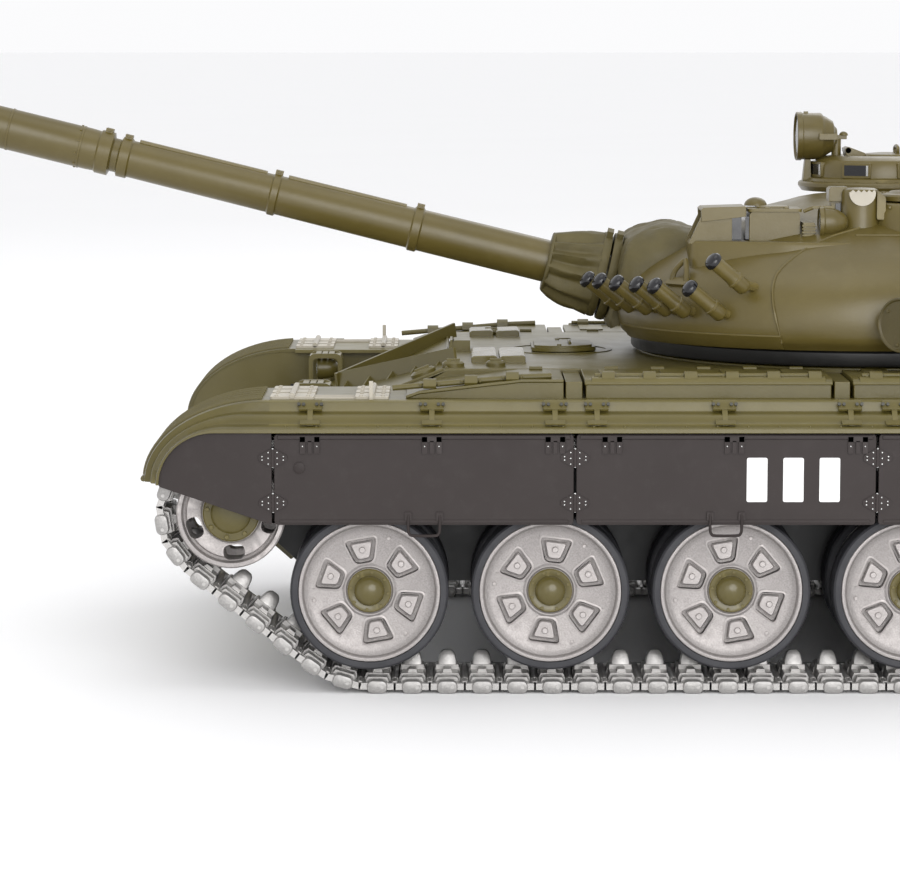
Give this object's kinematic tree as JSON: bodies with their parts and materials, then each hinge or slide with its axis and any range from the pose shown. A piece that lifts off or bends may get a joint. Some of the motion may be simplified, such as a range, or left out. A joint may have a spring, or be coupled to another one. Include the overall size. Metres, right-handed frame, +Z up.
{
  "type": "radio-controlled tank",
  "caption": "Tracked radio-controlled battle tank with turning turret, elevating gun, sprung road wheels, side skirts and opening hatches.",
  "frame": {"origin": "middle of the whole outline, on the ground under the tracks", "axes": "+X forward, the way the gun points at rest; +Y to the vehicle's left; +Z up"},
  "size_m": [0.614, 0.224, 0.1934],
  "materials": {
    "olive_paint": "semi-matt olive-drab paint on moulded plastic",
    "wheel_alloy": "sand-cast aluminium, satin",
    "track_metal": "die-cast zinc-alloy links, satin",
    "skirt_plastic": "dark grey-brown moulded plastic",
    "black_plastic": "black moulded plastic",
    "tyre_rubber": "dull black rubber",
    "lamp_glass": "clear lens",
    "lens_black": "glossy black",
    "gun_metal": "dark olive-black",
    "battery_film": "blue shrink film",
    "circuit_board": "green solder mask",
    "log_wood": "bare timber",
    "white_mark": "white paint",
    "steel_bright": "bright screws and pins"
  },
  "bodies": {
    "hull": {"hull_tub": "black_plastic", "upper_hull": "olive_paint", "headlights": "olive_paint", "rear_drums": "olive_paint", "battery_pack": "battery_film", "drive_units": "black_plastic", "control_board": "circuit_board", "speaker": "black_plastic", "track_left": "track_metal", "track_right": "track_metal", "side_skirt_left": "skirt_plastic", "side_skirt_right": "skirt_plastic"},
    "sprocket_left": {"drive_sprocket_left": "wheel_alloy"},
    "arm_left_1": {"swing_arm_left_1": "black_plastic"},
    "wheel_left_1": {"road_wheel_left_1": "wheel_alloy"},
    "arm_left_2": {"swing_arm_left_2": "black_plastic"},
    "wheel_left_2": {"road_wheel_left_2": "wheel_alloy"},
    "arm_left_3": {"swing_arm_left_3": "black_plastic"},
    "wheel_left_3": {"road_wheel_left_3": "wheel_alloy"},
    "arm_left_4": {"swing_arm_left_4": "black_plastic"},
    "wheel_left_4": {"road_wheel_left_4": "wheel_alloy"},
    "arm_left_5": {"swing_arm_left_5": "black_plastic"},
    "wheel_left_5": {"road_wheel_left_5": "wheel_alloy"},
    "arm_left_6": {"swing_arm_left_6": "black_plastic"},
    "wheel_left_6": {"road_wheel_left_6": "wheel_alloy"},
    "idler_wheel_left": {"idler_left": "wheel_alloy"},
    "roller_left_1": {"return_roller_left_1": "wheel_alloy"},
    "roller_left_2": {"return_roller_left_2": "wheel_alloy"},
    "roller_left_3": {"return_roller_left_3": "wheel_alloy"},
    "sprocket_right": {"drive_sprocket_right": "wheel_alloy"},
    "arm_right_1": {"swing_arm_right_1": "black_plastic"},
    "wheel_right_1": {"road_wheel_right_1": "wheel_alloy"},
    "arm_right_2": {"swing_arm_right_2": "black_plastic"},
    "wheel_right_2": {"road_wheel_right_2": "wheel_alloy"},
    "arm_right_3": {"swing_arm_right_3": "black_plastic"},
    "wheel_right_3": {"road_wheel_right_3": "wheel_alloy"},
    "arm_right_4": {"swing_arm_right_4": "black_plastic"},
    "wheel_right_4": {"road_wheel_right_4": "wheel_alloy"},
    "arm_right_5": {"swing_arm_right_5": "black_plastic"},
    "wheel_right_5": {"road_wheel_right_5": "wheel_alloy"},
    "arm_right_6": {"swing_arm_right_6": "black_plastic"},
    "wheel_right_6": {"road_wheel_right_6": "wheel_alloy"},
    "idler_wheel_right": {"idler_right": "wheel_alloy"},
    "roller_right_1": {"return_roller_right_1": "wheel_alloy"},
    "roller_right_2": {"return_roller_right_2": "wheel_alloy"},
    "roller_right_3": {"return_roller_right_3": "wheel_alloy"},
    "turret": {"turret_shell": "olive_paint", "turret_stowage": "olive_paint", "smoke_dischargers": "olive_paint", "gun_searchlight": "olive_paint"},
    "gun": {"gun_barrel": "olive_paint", "gun_mantlet": "olive_paint"},
    "gunner_lid": {"gunner_hatch": "olive_paint"},
    "cupola": {"commander_cupola": "olive_paint", "cupola_light": "olive_paint"},
    "commander_lid": {"commander_hatch": "olive_paint"},
    "roof_gun": {"antiair_gun": "gun_metal"},
    "driver_lid": {"driver_hatch": "olive_paint"},
    "battery_cover": {"battery_door": "black_plastic"},
    "switch": {"power_switch": "black_plastic"}
  },
  "joints": [
    {"name": "sprocket_left_spin", "type": "hinge", "parent": "hull", "child": "sprocket_left", "pos_m": [-0.22303, 0.0872, 0.051], "axis": [0, 1, 0], "continuous": true},
    {"name": "suspension_left_1", "type": "hinge", "parent": "hull", "child": "arm_left_1", "pos_m": [0.10328, 0.063, 0.0362], "axis": [0, 1, 0], "range_deg": [0, 11], "stiffness_Nm_per_rad": 0.12, "springref_deg": -20.05},
    {"name": "wheel_left_1_spin", "type": "hinge", "parent": "arm_left_1", "child": "wheel_left_1", "pos_m": [0.08878, 0.0872, 0.0304], "axis": [0, 1, 0], "continuous": true},
    {"name": "suspension_left_2", "type": "hinge", "parent": "hull", "child": "arm_left_2", "pos_m": [0.04988, 0.063, 0.0362], "axis": [0, 1, 0], "range_deg": [0, 11], "stiffness_Nm_per_rad": 0.12, "springref_deg": -20.05},
    {"name": "wheel_left_2_spin", "type": "hinge", "parent": "arm_left_2", "child": "wheel_left_2", "pos_m": [0.03537, 0.0872, 0.0304], "axis": [0, 1, 0], "continuous": true},
    {"name": "suspension_left_3", "type": "hinge", "parent": "hull", "child": "arm_left_3", "pos_m": [-0.00352, 0.063, 0.0362], "axis": [0, 1, 0], "range_deg": [0, 11], "stiffness_Nm_per_rad": 0.12, "springref_deg": -20.05},
    {"name": "wheel_left_3_spin", "type": "hinge", "parent": "arm_left_3", "child": "wheel_left_3", "pos_m": [-0.01802, 0.0872, 0.0304], "axis": [0, 1, 0], "continuous": true},
    {"name": "suspension_left_4", "type": "hinge", "parent": "hull", "child": "arm_left_4", "pos_m": [-0.05693, 0.063, 0.0362], "axis": [0, 1, 0], "range_deg": [0, 11], "stiffness_Nm_per_rad": 0.12, "springref_deg": -20.05},
    {"name": "wheel_left_4_spin", "type": "hinge", "parent": "arm_left_4", "child": "wheel_left_4", "pos_m": [-0.07143, 0.0872, 0.0304], "axis": [0, 1, 0], "continuous": true},
    {"name": "suspension_left_5", "type": "hinge", "parent": "hull", "child": "arm_left_5", "pos_m": [-0.11033, 0.063, 0.0362], "axis": [0, 1, 0], "range_deg": [0, 11], "stiffness_Nm_per_rad": 0.12, "springref_deg": -20.05},
    {"name": "wheel_left_5_spin", "type": "hinge", "parent": "arm_left_5", "child": "wheel_left_5", "pos_m": [-0.12483, 0.0872, 0.0304], "axis": [0, 1, 0], "continuous": true},
    {"name": "suspension_left_6", "type": "hinge", "parent": "hull", "child": "arm_left_6", "pos_m": [-0.16373, 0.063, 0.0362], "axis": [0, 1, 0], "range_deg": [0, 11], "stiffness_Nm_per_rad": 0.12, "springref_deg": -20.05},
    {"name": "wheel_left_6_spin", "type": "hinge", "parent": "arm_left_6", "child": "wheel_left_6", "pos_m": [-0.17822, 0.0872, 0.0304], "axis": [0, 1, 0], "continuous": true},
    {"name": "idler_left_spin", "type": "hinge", "parent": "hull", "child": "idler_wheel_left", "pos_m": [0.12947, 0.0872, 0.0535], "axis": [0, 1, 0], "continuous": true},
    {"name": "roller_left_1_spin", "type": "hinge", "parent": "hull", "child": "roller_left_1", "pos_m": [0.06207, 0.075, 0.06186], "axis": [0, 1, 0], "continuous": true},
    {"name": "roller_left_2_spin", "type": "hinge", "parent": "hull", "child": "roller_left_2", "pos_m": [-0.04473, 0.075, 0.06067], "axis": [0, 1, 0], "continuous": true},
    {"name": "roller_left_3_spin", "type": "hinge", "parent": "hull", "child": "roller_left_3", "pos_m": [-0.15153, 0.075, 0.05949], "axis": [0, 1, 0], "continuous": true},
    {"name": "sprocket_right_spin", "type": "hinge", "parent": "hull", "child": "sprocket_right", "pos_m": [-0.22303, -0.0872, 0.051], "axis": [0, 1, 0], "continuous": true},
    {"name": "suspension_right_1", "type": "hinge", "parent": "hull", "child": "arm_right_1", "pos_m": [0.10328, -0.063, 0.0362], "axis": [0, 1, 0], "range_deg": [0, 11], "stiffness_Nm_per_rad": 0.12, "springref_deg": -20.05},
    {"name": "wheel_right_1_spin", "type": "hinge", "parent": "arm_right_1", "child": "wheel_right_1", "pos_m": [0.08878, -0.0872, 0.0304], "axis": [0, 1, 0], "continuous": true},
    {"name": "suspension_right_2", "type": "hinge", "parent": "hull", "child": "arm_right_2", "pos_m": [0.04988, -0.063, 0.0362], "axis": [0, 1, 0], "range_deg": [0, 11], "stiffness_Nm_per_rad": 0.12, "springref_deg": -20.05},
    {"name": "wheel_right_2_spin", "type": "hinge", "parent": "arm_right_2", "child": "wheel_right_2", "pos_m": [0.03537, -0.0872, 0.0304], "axis": [0, 1, 0], "continuous": true},
    {"name": "suspension_right_3", "type": "hinge", "parent": "hull", "child": "arm_right_3", "pos_m": [-0.00352, -0.063, 0.0362], "axis": [0, 1, 0], "range_deg": [0, 11], "stiffness_Nm_per_rad": 0.12, "springref_deg": -20.05},
    {"name": "wheel_right_3_spin", "type": "hinge", "parent": "arm_right_3", "child": "wheel_right_3", "pos_m": [-0.01802, -0.0872, 0.0304], "axis": [0, 1, 0], "continuous": true},
    {"name": "suspension_right_4", "type": "hinge", "parent": "hull", "child": "arm_right_4", "pos_m": [-0.05693, -0.063, 0.0362], "axis": [0, 1, 0], "range_deg": [0, 11], "stiffness_Nm_per_rad": 0.12, "springref_deg": -20.05},
    {"name": "wheel_right_4_spin", "type": "hinge", "parent": "arm_right_4", "child": "wheel_right_4", "pos_m": [-0.07143, -0.0872, 0.0304], "axis": [0, 1, 0], "continuous": true},
    {"name": "suspension_right_5", "type": "hinge", "parent": "hull", "child": "arm_right_5", "pos_m": [-0.11033, -0.063, 0.0362], "axis": [0, 1, 0], "range_deg": [0, 11], "stiffness_Nm_per_rad": 0.12, "springref_deg": -20.05},
    {"name": "wheel_right_5_spin", "type": "hinge", "parent": "arm_right_5", "child": "wheel_right_5", "pos_m": [-0.12483, -0.0872, 0.0304], "axis": [0, 1, 0], "continuous": true},
    {"name": "suspension_right_6", "type": "hinge", "parent": "hull", "child": "arm_right_6", "pos_m": [-0.16373, -0.063, 0.0362], "axis": [0, 1, 0], "range_deg": [0, 11], "stiffness_Nm_per_rad": 0.12, "springref_deg": -20.05},
    {"name": "wheel_right_6_spin", "type": "hinge", "parent": "arm_right_6", "child": "wheel_right_6", "pos_m": [-0.17822, -0.0872, 0.0304], "axis": [0, 1, 0], "continuous": true},
    {"name": "idler_right_spin", "type": "hinge", "parent": "hull", "child": "idler_wheel_right", "pos_m": [0.12947, -0.0872, 0.0535], "axis": [0, 1, 0], "continuous": true},
    {"name": "roller_right_1_spin", "type": "hinge", "parent": "hull", "child": "roller_right_1", "pos_m": [0.06207, -0.075, 0.06186], "axis": [0, 1, 0], "continuous": true},
    {"name": "roller_right_2_spin", "type": "hinge", "parent": "hull", "child": "roller_right_2", "pos_m": [-0.04473, -0.075, 0.06067], "axis": [0, 1, 0], "continuous": true},
    {"name": "roller_right_3_spin", "type": "hinge", "parent": "hull", "child": "roller_right_3", "pos_m": [-0.15153, -0.075, 0.05949], "axis": [0, 1, 0], "continuous": true},
    {"name": "turret_traverse", "type": "hinge", "parent": "hull", "child": "turret", "pos_m": [-0.06703, 0, 0.0988], "axis": [0, 0, 1], "range_deg": [-160, 160]},
    {"name": "gun_elevation", "type": "hinge", "parent": "turret", "child": "gun", "pos_m": [-0.00502, 0, 0.1118], "axis": [0, -1, 0], "range_deg": [-17.8, 12.2]},
    {"name": "gunner_hatch_opening", "type": "hinge", "parent": "turret", "child": "gunner_lid", "pos_m": [-0.09903, 0.034, 0.1435], "axis": [0, -1, 0], "range_deg": [0, 170]},
    {"name": "cupola_rotation", "type": "hinge", "parent": "turret", "child": "cupola", "pos_m": [-0.07702, -0.034, 0.1442], "axis": [0, 0, 1], "continuous": true},
    {"name": "commander_hatch_opening", "type": "hinge", "parent": "cupola", "child": "commander_lid", "pos_m": [-0.06653, -0.034, 0.156], "axis": [0, 1, 0], "range_deg": [0, 85]},
    {"name": "roof_gun_elevation", "type": "hinge", "parent": "cupola", "child": "roof_gun", "pos_m": [-0.10153, -0.034, 0.1592], "axis": [0, 1, 0], "range_deg": [-4, 60]},
    {"name": "driver_hatch_swing", "type": "hinge", "parent": "hull", "child": "driver_lid", "pos_m": [0.02797, -0.0155, 0.0931], "axis": [0, 0, 1], "range_deg": [-135, 0]},
    {"name": "battery_cover_slide", "type": "slide", "parent": "hull", "child": "battery_cover", "axis": [-1, 0, 0], "range_m": [0, 0.07]},
    {"name": "power_switch_slide", "type": "slide", "parent": "hull", "child": "switch", "axis": [1, 0, 0], "range_m": [0, 0.005]}
  ],
  "couplings": [
    {"joint": "wheel_left_1_spin", "follows": "sprocket_left_spin", "ratio": 0.69149},
    {"joint": "wheel_left_2_spin", "follows": "sprocket_left_spin", "ratio": 0.69149},
    {"joint": "wheel_left_3_spin", "follows": "sprocket_left_spin", "ratio": 0.69149},
    {"joint": "wheel_left_4_spin", "follows": "sprocket_left_spin", "ratio": 0.69149},
    {"joint": "wheel_left_5_spin", "follows": "sprocket_left_spin", "ratio": 0.69149},
    {"joint": "wheel_left_6_spin", "follows": "sprocket_left_spin", "ratio": 0.69149},
    {"joint": "idler_left_spin", "follows": "sprocket_left_spin", "ratio": 0.93301},
    {"joint": "roller_left_1_spin", "follows": "sprocket_left_spin", "ratio": 1.6525},
    {"joint": "roller_left_2_spin", "follows": "sprocket_left_spin", "ratio": 1.6525},
    {"joint": "roller_left_3_spin", "follows": "sprocket_left_spin", "ratio": 1.6525},
    {"joint": "wheel_right_1_spin", "follows": "sprocket_right_spin", "ratio": 0.69149},
    {"joint": "wheel_right_2_spin", "follows": "sprocket_right_spin", "ratio": 0.69149},
    {"joint": "wheel_right_3_spin", "follows": "sprocket_right_spin", "ratio": 0.69149},
    {"joint": "wheel_right_4_spin", "follows": "sprocket_right_spin", "ratio": 0.69149},
    {"joint": "wheel_right_5_spin", "follows": "sprocket_right_spin", "ratio": 0.69149},
    {"joint": "wheel_right_6_spin", "follows": "sprocket_right_spin", "ratio": 0.69149},
    {"joint": "idler_right_spin", "follows": "sprocket_right_spin", "ratio": 0.93301},
    {"joint": "roller_right_1_spin", "follows": "sprocket_right_spin", "ratio": 1.6525},
    {"joint": "roller_right_2_spin", "follows": "sprocket_right_spin", "ratio": 1.6525},
    {"joint": "roller_right_3_spin", "follows": "sprocket_right_spin", "ratio": 1.6525}
  ]
}
